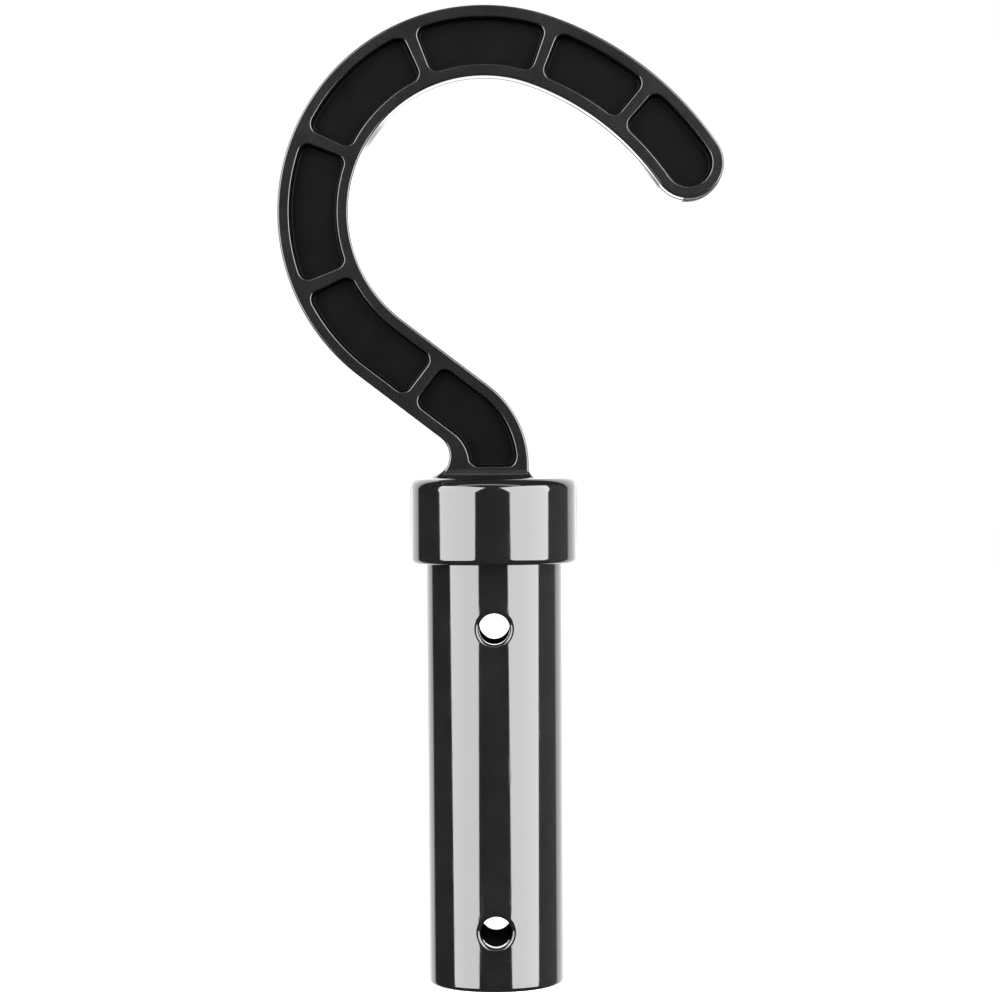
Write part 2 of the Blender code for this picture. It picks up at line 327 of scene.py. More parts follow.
def up_tip(degrees):
    """The same on the flatter stretch towards the tip."""
    return TIP_AT + (BLEND_ANGLE - math.radians(degrees)) * TIP_R


ribs = [ROUND_AT - SHANK_RIB] + [up_round(a) for a in reversed(ROUND_RIBS)]
ribs += [up_tip(a) for a in reversed(TIP_RIBS)]
starts = [FOOT_WALL] + [r + RIB / 2 for r in ribs]
ends = [r - RIB / 2 for r in ribs] + [LINE_END + HALF_POCKET]
for start, end in zip(starts, ends):
    print("pocket from", round(start, 2), "to", round(end, 2))

# %% [markdown]
# A plug starts as a flat plate with rounded corners at the face, and every inset takes it one
# step down: first round the lip, then down the slightly drafted wall, then round the fillet at
# the floor.  Last, its rim is extruded past the face and closed.

# %% Rings of a plug
LIP_R = 0.3
WALL_DRAFT = 0.3
FLOOR_R = 0.3
POCKET_DEPTH = 2.9
PAST = 1.0
LIFT = 0.004                    # keeps the plug's widest ring just off the face
RING_STEPS = 5
CORNER_STEPS = 10


def inset_steps():
    """(inset, drop) of every ring of a plug, from the face down to the floor."""
    rings = []
    for i in range(1, RING_STEPS + 1):
        t = math.pi / 2 * i / RING_STEPS
        rings.append((LIP_R * math.sin(t), LIP_R * (1 - math.cos(t))))
    wall_end = POCKET_DEPTH - FLOOR_R
    rings.append((LIP_R + WALL_DRAFT, wall_end))
    for i in range(1, RING_STEPS + 1):
        t = math.pi / 2 * i / RING_STEPS
        rings.append((LIP_R + WALL_DRAFT + FLOOR_R * (1 - math.cos(t)),
                      wall_end + FLOOR_R * math.sin(t)))
    return rings


def sink(rings):
    """Inset the selected face ring by ring, going down along Y."""
    done = (0.0, 0.0)
    for inset, drop in rings:
        bpy.ops.mesh.inset(thickness=(inset - done[0]) * MM, depth=0, use_even_offset=True)
        bpy.ops.transform.translate(value=(0, (drop - done[1]) * MM, 0))
        done = (inset, drop)


print("rings of a plug:", [(round(a, 2), round(b, 2)) for a, b in inset_steps()])

# %% One plug


def make_plug(name, start, end, start_r, end_r):
    """A plug for the front face, from start to end along the bar, with its corner radii."""
    wide = HALF_POCKET + LIP_R / 2
    top = -FACE - LIFT
    plug = block(name, (start - LIP_R / 2, top, -wide), (end + LIP_R / 2, top + 1, wide))
    pick(plug, "FACE", lambda c: any(p.y > top + NEAR for p in c))
    bpy.ops.mesh.delete(type="FACE")
    for near_start, radius in ((True, start_r), (False, end_r)):
        pick(plug, "VERT", lambda c: (c[0].x < (start + end) / 2) == near_start)
        bpy.ops.mesh.bevel(offset=(radius + LIP_R / 2) * MM, segments=CORNER_STEPS, affect="VERTICES",
                           clamp_overlap=False)
    close_edit(plug)
    pick(plug, "FACE", lambda c: True)
    sink(inset_steps())
    bpy.ops.mesh.select_all(action="DESELECT")
    bpy.ops.mesh.select_mode(type="EDGE")
    bpy.ops.mesh.select_non_manifold(extend=False)
    bpy.ops.mesh.extrude_region_move(TRANSFORM_OT_translate={"value": (0, -PAST * MM, 0)})
    bpy.ops.mesh.edge_face_add()
    close_edit(plug)
    return plug


# %% [markdown]
# The back of the bar has the same pockets, because both mould halves are alike.  Each plug is
# copied and turned half a turn about the bar's own line.  Then all of them are joined, and one
# boolean cuts every pocket.

# %% Plugs for both faces
plugs = []
for number, (start, end) in enumerate(zip(starts, ends)):
    end_r = HALF_POCKET - SHY if end > LINE_END else CORNER_R
    plug = make_plug(f"plug_{number}", start, end, CORNER_R, end_r)
    plugs.append(plug)
    only(plug)
    bpy.ops.object.duplicate()
    back = bpy.context.object
    bpy.ops.object.mode_set(mode="EDIT")
    bpy.ops.mesh.select_all(action="SELECT")
    bpy.ops.transform.rotate(value=math.pi, orient_axis="X", center_override=(0, 0, 0))
    bpy.ops.object.mode_set(mode="OBJECT")
    plugs.append(back)
only(plugs[0])
for plug in plugs:
    plug.select_set(True)
bpy.ops.object.join()
plug_set = bpy.context.object
print("plugs:", len(plug_set.data.polygons), "faces")

# %% Cut the pockets
cut = arm.modifiers.new("pockets", "BOOLEAN")
cut.operation = "DIFFERENCE"
cut.solver = "EXACT"
cut.object = plug_set
apply(arm, cut)
bpy.data.objects.remove(plug_set)
print("bar with pockets:", len(arm.data.polygons), "faces")

# %% [markdown]
# Before a mesh can be bent smoothly it needs cross cuts all along.  A loop cut would need a
# window, so each cut is a bisect that keeps both sides.  The cuts are a little over a
# millimetre apart, and closer in the neck, where the bend is tight.

# %% Cross cuts
NECK_CUTS = 18
SHANK_STEP = 1.4
ROUND_CUTS = 86
TIP_CUTS = 30
cuts = [1.0, 2.0]
cuts += [NECK_AT + NECK_TURN * NECK_R * i / NECK_CUTS for i in range(NECK_CUTS + 1)]
cuts += [SHANK_AT + SHANK_STEP * i for i in range(1, int(SHANK_LENGTH / SHANK_STEP))]
cuts += [ROUND_AT + (TIP_AT - ROUND_AT) * i / ROUND_CUTS for i in range(ROUND_CUTS + 1)]
cuts += [TIP_AT + (LINE_END - TIP_AT) * i / TIP_CUTS for i in range(1, TIP_CUTS + 1)]
only(arm)
bpy.ops.object.mode_set(mode="EDIT")
for at in cuts:
    slice_at(arm, (at, 0, 0), (1, 0, 0))
close_edit(arm)
print("bar with cross cuts:", len(arm.data.polygons), "faces")

# %% [markdown]
# ## Three finishes on one moulding
#
# The rims are satin, the pocket floors are duller, and the sides and all roundings are
# polished.  One material with masks could do it, but the borders lie exactly on edges of the
# mesh, so three material slots are crisper.  While the bar is straight, each finish is easy to
# pick by its height in Y.

# %% Sort the faces by finish
SIDES, RIMS, FLOORS = 0, 1, 2
finish_names = ("polished_black", "satin_rim", "dull_pocket")
finishes = [bpy.data.materials.new(name) for name in finish_names]
arm.data.materials.clear()
for finish in finishes:
    arm.data.materials.append(finish)
floor_level = FACE - POCKET_DEPTH
for polygon in arm.data.polygons:
    heights = [abs(arm.data.vertices[i].co.y) / MM for i in polygon.vertices]
    inner = max(abs(arm.data.vertices[i].co.z) / MM for i in polygon.vertices) < HALF_POCKET + NEAR
    if min(heights) > FACE - 2 * NEAR:
        polygon.material_index = RIMS
    elif inner and max(heights) < FACE - LIP_R + NEAR:
        polygon.material_index = FLOORS
    else:
        polygon.material_index = SIDES
print("faces by finish:", [sum(p.material_index == i for p in arm.data.polygons) for i in range(3)])

# %% [markdown]
# ## Bend the bar
#
# The Curve modifier wraps the bar along the centre line.  The positions on the straight bar are
# kept in a list, because they say which corners belong to the heel.

# %% Bend
straight = [v.co / MM for v in arm.data.vertices]
bend = arm.modifiers.new("bend", "CURVE")
bend.object = centre_line
bend.deform_axis = "POS_X"
apply(arm, bend)
outer_sign = 1 if max(zip(straight, arm.data.vertices),
                      key=lambda pair: pair[1].co.z)[0].z > 0 else -1
print("outer side is", "+Z" if outer_sign > 0 else "-Z", "on the straight bar; box",
      [round(v / MM, 2) for v in (*arm.bound_box[0], *arm.bound_box[6])])

# %% [markdown]
# ## Heel and foot
#
# On the outer side the shank runs into the collar through a wide heel.  A separate wedge would
# leave a seam in the face, so the bar's own corners slide from its edge to the heel's arc.

# %% Heel
HEEL_R = 4.85
down_shank = -UP_SHANK
shank_side = shank_end.dot(TO_THROAT) - HALF - HEEL_R
heel_z = COLLAR_TOP + HEEL_R
heel_centre = Vector(((shank_side - heel_z * TO_THROAT.z) / TO_THROAT.x, 0, heel_z))
heel_top = (shank_end - heel_centre).dot(down_shank)
HEEL_FROM = ROUND_AT + heel_top
print("heel centre", [round(v, 2) for v in heel_centre], "starts at", round(HEEL_FROM, 2))


def heel_place(up, inset):
    """Where a corner of the outer side goes, by its distance up the line and from the edge."""
    share = 1 - up / HEEL_FROM
    turn = NECK_TURN + (-math.pi / 2 - NECK_TURN) * share
    reach = HEEL_R + inset
    low = heel_centre.z - COLLAR_TOP
    if reach * math.sin(turn) < -low:
        turn = -math.asin(low / reach)
    return heel_centre.x + reach * math.cos(turn), heel_centre.z + reach * math.sin(turn)


moved = 0
for place, vertex in zip(straight, arm.data.vertices):
    inset = HALF - place.z * outer_sign
    if inset < EDGE_ROUND + NEAR and place.x < HEEL_FROM:
        x, z = heel_place(place.x, inset)
        vertex.co.x = x * MM
        vertex.co.z = z * MM
        moved += 1
print("corners moved to the heel:", moved)

# %% [markdown]
# The foot spreads in a fillet, and a fillet needs corners at equal heights.  Level cuts through
# the lowest stretch give them, and upright cuts give the heel's wall corners to bulge with.

# %% Level and upright cuts
FOOT_CUTS = (0.12, 0.3, 0.5, 0.75, 1.0, 1.3, 1.6, 1.95, 2.3, 2.8, 3.3)
WALL_CUTS = (-2.9, -2.0, -1.0, 1.0, 2.0, 2.9)
LOW_STRETCH = 9.0


def slice_part(piece, test, point, normal):
    """Cut only the faces whose corners all pass test."""
    pick(piece, "FACE", lambda c: all(test(p) for p in c))
    bpy.ops.mesh.bisect(plane_co=Vector(point) * MM, plane_no=normal)


for rise in FOOT_CUTS:
    slice_part(arm, lambda p: p.z < COLLAR_TOP + LOW_STRETCH and p.x < LOW_STRETCH,
               (0, 0, COLLAR_TOP + rise), (0, 0, 1))
for level in WALL_CUTS:
    slice_part(arm, lambda p: p.z < COLLAR_TOP + LOW_STRETCH and p.x < -BAND_WIDTH / 2,
               (0, level, 0), (0, 1, 0))
close_edit(arm)
print("hook arm with cuts in the foot:", len(arm.data.polygons), "faces")

# %% [markdown]
# Low down, the heel's wall bulges outwards along the parting line, and ends on the collar's
# rim.  The bulge is greatest at the middle of the wall and nothing at its edges.  Then the whole
# foot spreads in a fillet where it meets the collar: to the front, to the back, and under the
# hook's mouth.  The lowest corners follow the collar's round edge, so that no gap is left.

# %% Flare and foot
FLARE_HEIGHT = 4.2
FLARE_REACH = 2.7
FOOT_R = 2.2
COLLAR_ROUND = 1.2
SUNK = 0.05                     # how far the heel's end goes into the collar
WALL_TO = heel_centre.x + HEEL_R + 0.1
WALL_SKIN = EDGE_ROUND + 0.05   # the wall and its edge rounding, without the rims
for vertex in arm.data.vertices:
    x, y, z = vertex.co / MM
    rise = z - COLLAR_TOP
    if x < WALL_TO and rise < FLARE_HEIGHT:
        outward = (1 - rise / FLARE_HEIGHT) ** 2
        arc = math.sqrt(max(0.0, HEEL_R ** 2 - (HEEL_R - min(rise, HEEL_R)) ** 2))
        inside = x - (heel_centre.x + arc)
        if inside < WALL_SKIN:
            x -= outward * FLARE_REACH * max(0.0, 1 - (y / FACE) ** 2)
    if rise < FOOT_R:
        spread = FOOT_R - math.sqrt(max(0.0, FOOT_R ** 2 - (FOOT_R - rise) ** 2))
        y *= (FACE + spread) / FACE
        if x > 0:
            x *= (HALF + spread) / HALF
    overhang = math.hypot(x, y) - (COLLAR_R - COLLAR_ROUND)
    if rise < NEAR and overhang > 0:
        z -= COLLAR_ROUND - math.sqrt(max(0.0, COLLAR_ROUND ** 2 - overhang ** 2)) + SUNK
    vertex.co = Vector((x, y, z)) * MM
only(arm)
bpy.ops.object.mode_set(mode="EDIT")
close_edit(arm)
print("hook arm:", len(arm.data.polygons), "faces, box",
      [round(v / MM, 2) for v in (*arm.bound_box[0], *arm.bound_box[6])])

# %% [markdown]
# ## Collar
#
# The collar is what the pole's end stops against.  It could be spun from a profile, but a
# cylinder with both edges bevelled and a blind bore extruded from below gives the same shape in
# fewer steps.  The two mould halves part along Y, so its top slopes a little to the front and
# back, and its upper edge is rounder there than at the parting line.

# %% Collar
TURN = 144
ROUNDER = 1.4                   # how much larger the upper rounding is at the front
BORE_R = 11.3
BORE_TOP = 14.0
CROWN = 0.28
COLLAR_STEPS = 7
bpy.ops.mesh.primitive_cylinder_add(vertices=TURN, radius=COLLAR_R * MM, depth=COLLAR_TOP * MM,
                                    location=(0, 0, COLLAR_TOP / 2 * MM))
collar = bpy.context.object
collar.name = "collar_moulding"
bpy.ops.object.transform_apply(location=True)
pick(collar, "EDGE", lambda c: abs(c[0].z - c[1].z) < NEAR)
bpy.ops.mesh.bevel(offset=COLLAR_ROUND * MM, segments=COLLAR_STEPS, affect="EDGES",
                   clamp_overlap=False)
pick(collar, "FACE", lambda c: all(p.z < NEAR for p in c))
bpy.ops.mesh.inset(thickness=(COLLAR_R - COLLAR_ROUND - BORE_R) * MM, depth=0)
bpy.ops.mesh.extrude_region_move(TRANSFORM_OT_translate={"value": (0, 0, BORE_TOP * MM)})
close_edit(collar)
bpy.ops.object.mode_set(mode="EDIT")
slice_at(collar, (0, 0, 0), (0, 1, 0))
close_edit(collar)

# %% Crown and rounder front edge
for vertex in collar.data.vertices:
    x, y, z = vertex.co / MM
    from_axis = math.hypot(x, y)
    if z > COLLAR_TOP - COLLAR_ROUND - NEAR and from_axis > BORE_R + NEAR:
        share = abs(y) / from_axis
        larger = 1 + ROUNDER * (1 - (1 - share) ** 3)
        shrink = (COLLAR_R - (COLLAR_R - from_axis) * larger) / from_axis
        lift = (z - COLLAR_TOP + COLLAR_ROUND) / COLLAR_ROUND
        z = COLLAR_TOP - (COLLAR_TOP - z) * larger + CROWN * lift * (1 - share)
        vertex.co = Vector((x * shrink, y * shrink, z)) * MM
print("collar:", len(collar.data.polygons), "faces")

# %% [markdown]
# ## Spigot
#
# The spigot slides into the pole.  It is a tube that narrows a little downwards.  A cone gives
# the outside, insets at both ends make the rings, and bridging the rings makes the bore's wall.
# Level cuts divide the long faces, so that the holes disturb only the faces beside them.

# %% Spigot tube
SPIGOT_END_R = 14.2
END_ROUND = 0.9
END_STEPS = 6
LEVEL_STEP = 3
length = -SPIGOT_END
bpy.ops.mesh.primitive_cone_add(vertices=TURN, radius1=SPIGOT_END_R * MM, radius2=SPIGOT_R * MM,
                                depth=length * MM, location=(0, 0, -length / 2 * MM))
spigot = bpy.context.object
spigot.name = "spigot_moulding"
bpy.ops.object.transform_apply(location=True)
pick(spigot, "EDGE", lambda c: all(p.z < SPIGOT_END + NEAR for p in c))
bpy.ops.mesh.bevel(offset=END_ROUND * MM, segments=END_STEPS, affect="EDGES", clamp_overlap=False)
pick(spigot, "FACE", lambda c: all(p.z > -NEAR for p in c))
bpy.ops.mesh.inset(thickness=(SPIGOT_R - BORE_R) * MM, depth=0)
bpy.ops.mesh.delete(type="FACE")
pick(spigot, "FACE", lambda c: all(p.z < SPIGOT_END + NEAR for p in c))
bpy.ops.mesh.inset(thickness=(SPIGOT_END_R - END_ROUND - BORE_R) * MM, depth=0)
bpy.ops.mesh.delete(type="FACE")
bpy.ops.mesh.select_all(action="DESELECT")
bpy.ops.mesh.select_mode(type="EDGE")
bpy.ops.mesh.select_non_manifold(extend=False)
bpy.ops.mesh.bridge_edge_loops()
for level in range(2, int(length), LEVEL_STEP):
    slice_at(spigot, (0, 0, -level), (0, 0, 1))
close_edit(spigot)
print("spigot:", len(spigot.data.polygons), "faces")

# %% [markdown]
# Two pairs of cross holes go through the front and back walls, for the pole's spring button or
# pin.  A plain cylinder would leave knife edges, and a bevel on a curved edge is uneven.  So the
# plug itself is flared, and then bent round the spigot's wall.

# %% Cross holes
HOLE_R = 3.2
HOLE_ROUND = 1.0
HOLE_SIDES = 64
HOLE_STEPS = 7
THROUGH = 4.0                   # more than the wall's thickness
OUTSIDE = 2.0
UPPER_HOLE = -13.2
LOWER_HOLE = SPIGOT_END + 12.3


def hole_plug(name, height, side):
    """A round plug for one wall, flared where it leaves the wall."""
    wall = SPIGOT_R + (SPIGOT_END_R - SPIGOT_R) * height / SPIGOT_END
    bpy.ops.mesh.primitive_circle_add(vertices=HOLE_SIDES, radius=(HOLE_R + HOLE_ROUND) * MM,
                                      fill_type="NGON",
                                      location=(0, -(wall + LIFT) * MM, height * MM),
                                      rotation=(math.pi / 2, 0, 0))
    plug = bpy.context.object
    plug.name = name
    bpy.ops.object.transform_apply(location=True, rotation=True)
    pick(plug, "FACE", lambda c: True)
    rings = []
    for i in range(1, HOLE_STEPS + 1):
        t = math.pi / 2 * i / HOLE_STEPS
        rings.append((HOLE_ROUND * math.sin(t), HOLE_ROUND * (1 - math.cos(t))))
    sink(rings)
    bpy.ops.mesh.extrude_region_move(TRANSFORM_OT_translate={"value": (0, THROUGH * MM, 0)})
    bpy.ops.mesh.select_all(action="DESELECT")
    bpy.ops.mesh.select_mode(type="EDGE")
    bpy.ops.mesh.select_non_manifold(extend=False)
    bpy.ops.mesh.extrude_region_move(TRANSFORM_OT_translate={"value": (0, -OUTSIDE * MM, 0)})
    bpy.ops.mesh.edge_face_add()
    close_edit(plug)
    for vertex in plug.data.vertices:
        x = vertex.co.x / MM
        vertex.co.y += (wall - math.sqrt(wall ** 2 - x ** 2)) * MM
    if side > 0:
        bpy.ops.object.mode_set(mode="EDIT")
        bpy.ops.mesh.select_all(action="SELECT")
        bpy.ops.transform.rotate(value=math.pi, orient_axis="Z", center_override=(0, 0, 0))
        bpy.ops.object.mode_set(mode="OBJECT")
    return plug


for height in (UPPER_HOLE, LOWER_HOLE):
    for side in (-1, 1):
        plug = hole_plug("hole_plug", height, side)
        cut = spigot.modifiers.new("cross_hole", "BOOLEAN")
        cut.operation = "DIFFERENCE"
        cut.solver = "EXACT"
        cut.object = plug
        apply(spigot, cut)
        bpy.data.objects.remove(plug)
print("spigot with holes:", len(spigot.data.polygons), "faces")
bpy.data.objects.remove(centre_line)

# %% [markdown]
# ## Smooth shading
#
# Roundings should look round, and flat faces flat.  Edges sharper than 30 degrees stay sharp.
# Weighted normals then let the large faces decide the shading at their borders, so that the
# small bevel faces carry all of the turn.

# %% Smooth shading
SHARP = math.radians(30)
for piece in (arm, collar, spigot):
    only(piece)
    bpy.ops.object.shade_smooth_by_angle(angle=SHARP)
    weigh = piece.modifiers.new("weigh_normals", "WEIGHTED_NORMAL")
    weigh.mode = "FACE_AREA_WITH_ANGLE"
    weigh.keep_sharp = True
    apply(piece, weigh)
    print(piece.name, "shaded:", len(piece.data.polygons), "faces")

# %% [markdown]
# ## Black plastic
#
# One black plastic takes three finishes from its mould.  A flat black would look painted, so
# each finish has grain, uneven gloss, hairlines and dust.  The effects that they share are node
# groups, which put out a height, a mask or a value, and each finish places them with its own
# numbers.  Three short helpers keep the node trees readable.

# %% Helpers for nodes


def node(tree, kind, inputs=None, **settings):
    """Add a shader node; inputs maps its sockets to values or to the sockets that feed them."""
    made = tree.nodes.new("ShaderNode" + kind)
    for name, value in settings.items():
        setattr(made, name, value)
    for socket, value in (inputs or {}).items():
        if isinstance(value, bpy.types.NodeSocket):
            tree.links.new(value, made.inputs[socket])
        else:
            made.inputs[socket].default_value = value
    return made


def effect_group(name, inputs, output):
    """A group with a Position input, float inputs with their defaults, and one float output."""
    group = bpy.data.node_groups.new(name, "ShaderNodeTree")
    group.interface.new_socket("Position", in_out="INPUT", socket_type="NodeSocketVector")
    for label, value in inputs.items():
        socket = group.interface.new_socket(label, in_out="INPUT", socket_type="NodeSocketFloat")
        socket.default_value = value
    group.interface.new_socket(output, in_out="OUTPUT", socket_type="NodeSocketFloat")
    return group, group.nodes.new("NodeGroupInput"), group.nodes.new("NodeGroupOutput")


def effect(tree, group, position, values):
    """Place a group in a material with its own values, and return its output."""
    made = tree.nodes.new("ShaderNodeGroup")
    made.node_tree = group
    tree.links.new(position, made.inputs["Position"])
    for label, value in values.items():
        made.inputs[label].default_value = value
    return made.outputs[0]


# %% [markdown]
# ### Patches
#
# Gloss and depth of colour are never quite even on a moulding, because the plastic cools
# unevenly.  A slow noise, stretched between a low and a high value, gives that.  Sizes are in
# millimetres.

# %% Patches group
patches, start, end = effect_group("uneven_patches", {"Size": 10.0, "Low": 0.0, "High": 1.0}, "Value")
per_metre = node(patches, "Math", {0: 1000.0, 1: start.outputs["Size"]}, operation="DIVIDE")
cloud = node(patches, "TexNoise", {"Vector": start.outputs["Position"], "Scale": per_metre.outputs[0],
                                   "Detail": 3.0, "Roughness": 0.55})
stretched = node(patches, "MapRange", {"Value": cloud.outputs[0], "From Min": 0.3, "From Max": 0.7,
                                       "To Min": start.outputs["Low"],
                                       "To Max": start.outputs["High"]})
patches.links.new(stretched.outputs[0], end.inputs["Value"])
print("patches group:", len(patches.nodes), "nodes")

# %% [markdown]
# ### Grain
#
# The satin rims and the dull pockets get their finish from spark-eroded steel, which leaves tiny
# rounded pits.  Cells and noise of the same size, mixed, look like that.

# %% Grain group
grain, start, end = effect_group("spark_grain", {"Size": 0.1, "Pits": 0.5}, "Height")
per_metre = node(grain, "Math", {0: 1000.0, 1: start.outputs["Size"]}, operation="DIVIDE")
pits = node(grain, "TexVoronoi", {"Vector": start.outputs["Position"], "Scale": per_metre.outputs[0]},
            feature="SMOOTH_F1")
rough = node(grain, "TexNoise", {"Vector": start.outputs["Position"], "Scale": per_metre.outputs[0],
                                 "Detail": 2.0, "Roughness": 0.6})
mixed = node(grain, "Mix", {0: start.outputs["Pits"], 2: rough.outputs[0],
                            3: pits.outputs["Distance"]})
grain.links.new(mixed.outputs[0], end.inputs["Height"])
print("grain group:", len(grain.nodes), "nodes")

# %% [markdown]
# ### Hairlines
#
# Handling and sliding leave hairline scratches.  A noise that is drawn out along one direction
# has long level curves, and a thin band around its middle value picks them out.  A second,
# slower noise breaks them off, so that they come in short bundles.  Across and Along are the
# sizes of the pattern across and along Z, in millimetres.

# %% Hairlines group
hairlines, start, end = effect_group("hairlines", {"Across": 0.6, "Along": 15.0, "Thin": 0.02,
                                                   "Amount": 1.0}, "Mask")
across = node(hairlines, "Math", {0: 1000.0, 1: start.outputs["Across"]}, operation="DIVIDE")
along = node(hairlines, "Math", {0: 1000.0, 1: start.outputs["Along"]}, operation="DIVIDE")
drawn_out = node(hairlines, "CombineXYZ", {0: across.outputs[0], 1: across.outputs[0],
                                           2: along.outputs[0]})
spot = node(hairlines, "VectorMath", {0: start.outputs["Position"], 1: drawn_out.outputs[0]},
            operation="MULTIPLY")
waves = node(hairlines, "TexNoise", {"Vector": spot.outputs[0], "Scale": 1.0, "Detail": 1.0})
off_middle = node(hairlines, "Math", {0: waves.outputs[0], 1: 0.5}, operation="SUBTRACT")
distance = node(hairlines, "Math", {0: off_middle.outputs[0]}, operation="ABSOLUTE")
line = node(hairlines, "MapRange", {"Value": distance.outputs[0], "From Min": 0.0,
                                    "From Max": start.outputs["Thin"], "To Min": 1.0,
                                    "To Max": 0.0})
BUNDLES_PER_METRE = 160.0
BUNDLE_EDGE = (0.52, 0.62)      # noise values between which a bundle fades in
bundle = node(hairlines, "TexNoise", {"Vector": start.outputs["Position"],
                                      "Scale": BUNDLES_PER_METRE, "Detail": 1.0})
broken = node(hairlines, "MapRange", {"Value": bundle.outputs[0], "From Min": BUNDLE_EDGE[0],
                                      "From Max": BUNDLE_EDGE[1]})
shown = node(hairlines, "Math", {0: line.outputs[0], 1: broken.outputs[0]}, operation="MULTIPLY")
scaled = node(hairlines, "Math", {0: shown.outputs[0], 1: start.outputs["Amount"]},
              operation="MULTIPLY")
hairlines.links.new(scaled.outputs[0], end.inputs["Mask"])
print("hairlines group:", len(hairlines.nodes), "nodes")

# %% [markdown]
# ### Dust
#
# Specks of dust lie a few millimetres apart.  Each cell of a Voronoi pattern holds at most one:
# a cell shows its speck only when its random number is below Share.

# %% Dust group
dust, start, end = effect_group("dust_specks", {"Spacing": 3.0, "Radius": 0.05, "Share": 0.3}, "Mask")
per_metre = node(dust, "Math", {0: 1000.0, 1: start.outputs["Spacing"]}, operation="DIVIDE")
cells = node(dust, "TexVoronoi", {"Vector": start.outputs["Position"], "Scale": per_metre.outputs[0]})
radius = node(dust, "Math", {0: start.outputs["Radius"], 1: start.outputs["Spacing"]},
              operation="DIVIDE")
inside = node(dust, "Math", {0: cells.outputs["Distance"], 1: radius.outputs[0]},
              operation="LESS_THAN")
number = node(dust, "SeparateColor", {0: cells.outputs["Color"]})
chosen = node(dust, "Math", {0: number.outputs[0], 1: start.outputs["Share"]}, operation="LESS_THAN")
speck = node(dust, "Math", {0: inside.outputs[0], 1: chosen.outputs[0]}, operation="MULTIPLY")
dust.links.new(speck.outputs[0], end.inputs["Mask"])
print("dust group:", len(dust.nodes), "nodes")

# %% [markdown]
# ### A black plastic from those effects
#
# Every finish is built the same way.  Patches shift the black and the roughness, hairlines and
# dust roughen and lighten it a little, and grain and a very slow waviness, as a moulding has,
# go into the bump.  What is the same all over, such as the specular level, is set on the
# shader's own socket.

# %% Black plastic
DUST_GREY = (0.05, 0.05, 0.049, 1)
SCRATCH_ROUGHENS = 0.18
DUST_ROUGHENS = 0.5
SCRATCH_DEPTH = 0.6
MICROMETRE = 1e-6


def black_plastic(material, blacks, gloss, grain_size, grain_depth, wave_depth, scratched, dusty,
                  specular):
    """Build one finish.

    blacks is (deepest, palest) and gloss is (smoothest, roughest); depths are in micrometres.
    """
    deepest, palest = [(grey, grey, grey * 1.06, 1) for grey in blacks]
    material.use_nodes = True
    tree = material.node_tree
    shader = tree.nodes["Principled BSDF"]
    shader.inputs["Specular IOR Level"].default_value = specular
    at = node(tree, "TexCoord").outputs["Object"]
    speck = effect(tree, dust, at, {"Spacing": 2.6, "Radius": 0.05, "Share": dusty})
    scratch = effect(tree, hairlines, at, {"Across": 0.7, "Along": 14.0, "Thin": 0.02,
                                          "Amount": scratched})

    tone = effect(tree, patches, at, {"Size": 6.0, "Low": 0.0, "High": 1.0})
    black = node(tree, "Mix", {0: tone, 6: deepest, 7: palest}, data_type="RGBA")
    dusted = node(tree, "Mix", {0: speck, 6: black.outputs[2], 7: DUST_GREY}, data_type="RGBA")
    tree.links.new(dusted.outputs[2], shader.inputs["Base Color"])

    sheen_patch = effect(tree, patches, at, {"Size": 9.0, "Low": gloss[0], "High": gloss[1]})
    scuffed = node(tree, "Math", {0: scratch, 1: SCRATCH_ROUGHENS, 2: sheen_patch},
                   operation="MULTIPLY_ADD")
    powdered = node(tree, "Math", {0: speck, 1: DUST_ROUGHENS, 2: scuffed.outputs[0]},
                    operation="MULTIPLY_ADD", use_clamp=True)
    tree.links.new(powdered.outputs[0], shader.inputs["Roughness"])

    pitted = effect(tree, grain, at, {"Size": grain_size, "Pits": 0.5})
    fine = node(tree, "Bump", {"Height": pitted, "Strength": 1.0,
                               "Distance": grain_depth * MICROMETRE})
    swell = effect(tree, patches, at, {"Size": 5.0, "Low": 0.0, "High": 1.0})
    wavy = node(tree, "Bump", {"Height": swell, "Strength": 1.0,
                               "Distance": wave_depth * MICROMETRE, "Normal": fine.outputs[0]})
    cut_in = node(tree, "Bump", {"Height": scratch, "Strength": 1.0,
                                 "Distance": SCRATCH_DEPTH * MICROMETRE,
                                 "Normal": wavy.outputs[0]}, invert=True)
    tree.links.new(cut_in.outputs[0], shader.inputs["Normal"])
    print(material.name, "has", len(tree.nodes), "nodes")


# %% [markdown]
# ### The finishes
#
# The sides, the lips, the collar and the spigot come from polished steel.  The rims are satin,
# and the pockets are duller still.  The spigot slides in the pole, so it has its own copy with
# more hairlines along its length.

# %% Finishes
polished, satin, dull = finishes
rubbed = bpy.data.materials.new("rubbed_black")
black_plastic(polished, blacks=(0.0021, 0.0032), gloss=(0.05, 0.08), grain_size=0.3,
              grain_depth=0.2, wave_depth=3.0, scratched=0.2, dusty=0.12, specular=0.5)
black_plastic(satin, blacks=(0.0014, 0.0021), gloss=(0.22, 0.27), grain_size=0.12,
              grain_depth=0.3, wave_depth=2.0, scratched=0.0, dusty=0.15, specular=0.29)
black_plastic(dull, blacks=(0.0006, 0.0009), gloss=(0.38, 0.48), grain_size=0.12,
              grain_depth=1.5, wave_depth=2.0, scratched=0.0, dusty=0.3, specular=0.035)
black_plastic(rubbed, blacks=(0.0021, 0.0032), gloss=(0.055, 0.09), grain_size=0.3,
              grain_depth=0.2, wave_depth=2.0, scratched=0.6, dusty=0.15, specular=0.5)
for piece, finish in ((collar, polished), (spigot, rubbed)):
    piece.data.materials.clear()
    piece.data.materials.append(finish)
    print(piece.name, "is", finish.name)

